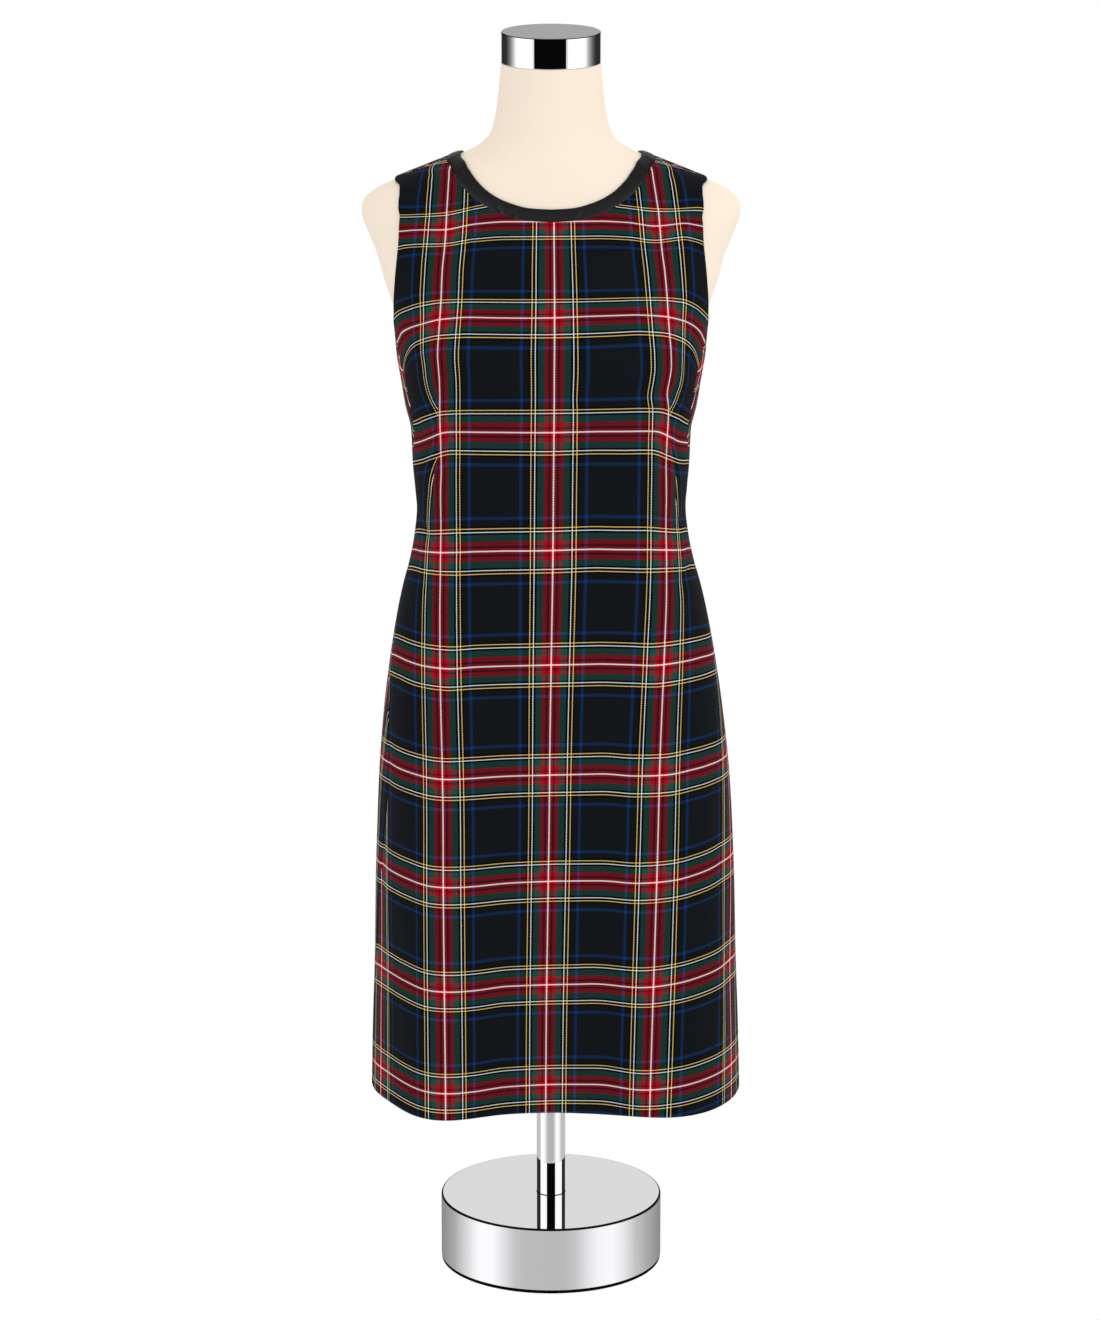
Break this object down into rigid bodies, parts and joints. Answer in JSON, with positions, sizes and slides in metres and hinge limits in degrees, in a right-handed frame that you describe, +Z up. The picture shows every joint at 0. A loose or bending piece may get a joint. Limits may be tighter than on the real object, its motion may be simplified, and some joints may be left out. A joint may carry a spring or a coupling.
{
  "type": "shift dress on a dress form",
  "caption": "Sleeveless tartan shift dress with a bound round neck and back zip, on a limbless dress form with a pole and a round base.",
  "frame": {"origin": "middle of the base's underside, where it rests on the floor", "axes": "+Z up the pole, -Y out of the dress's front, +X to the wearer's left"},
  "size_m": [0.3654, 0.254, 1.2273],
  "materials": {
    "tartan_wool": "brushed wool twill, black tartan with red, green, blue, yellow and white lines",
    "black_satin_binding": "black satin-faced binding, slight sheen",
    "black_polyester_tape": "woven zip tape",
    "black_enamelled_zinc": "satin black enamel",
    "cream_cotton_jersey": "smooth stretched cotton jersey, matte",
    "polished_chrome": "mirror polish"
  },
  "bodies": {
    "root": {"front": "tartan_wool", "back_left": "tartan_wool", "back_right": "tartan_wool", "neck_band_front": "black_satin_binding", "neck_band_back": "black_satin_binding", "zip_tape": "black_polyester_tape", "zip_slider": "black_enamelled_zinc", "form_body": "cream_cotton_jersey", "neck_cap": "polished_chrome", "pole": "polished_chrome", "base": "polished_chrome"},
    "pull": {"zip_pull": "black_enamelled_zinc"}
  },
  "joints": [
    {"name": "zip_pull_hinge", "type": "hinge", "parent": "root", "child": "pull", "pos_m": [0, 0.08401, 1.07264], "axis": [1, 0, 0], "range_deg": [0, 150]}
  ]
}
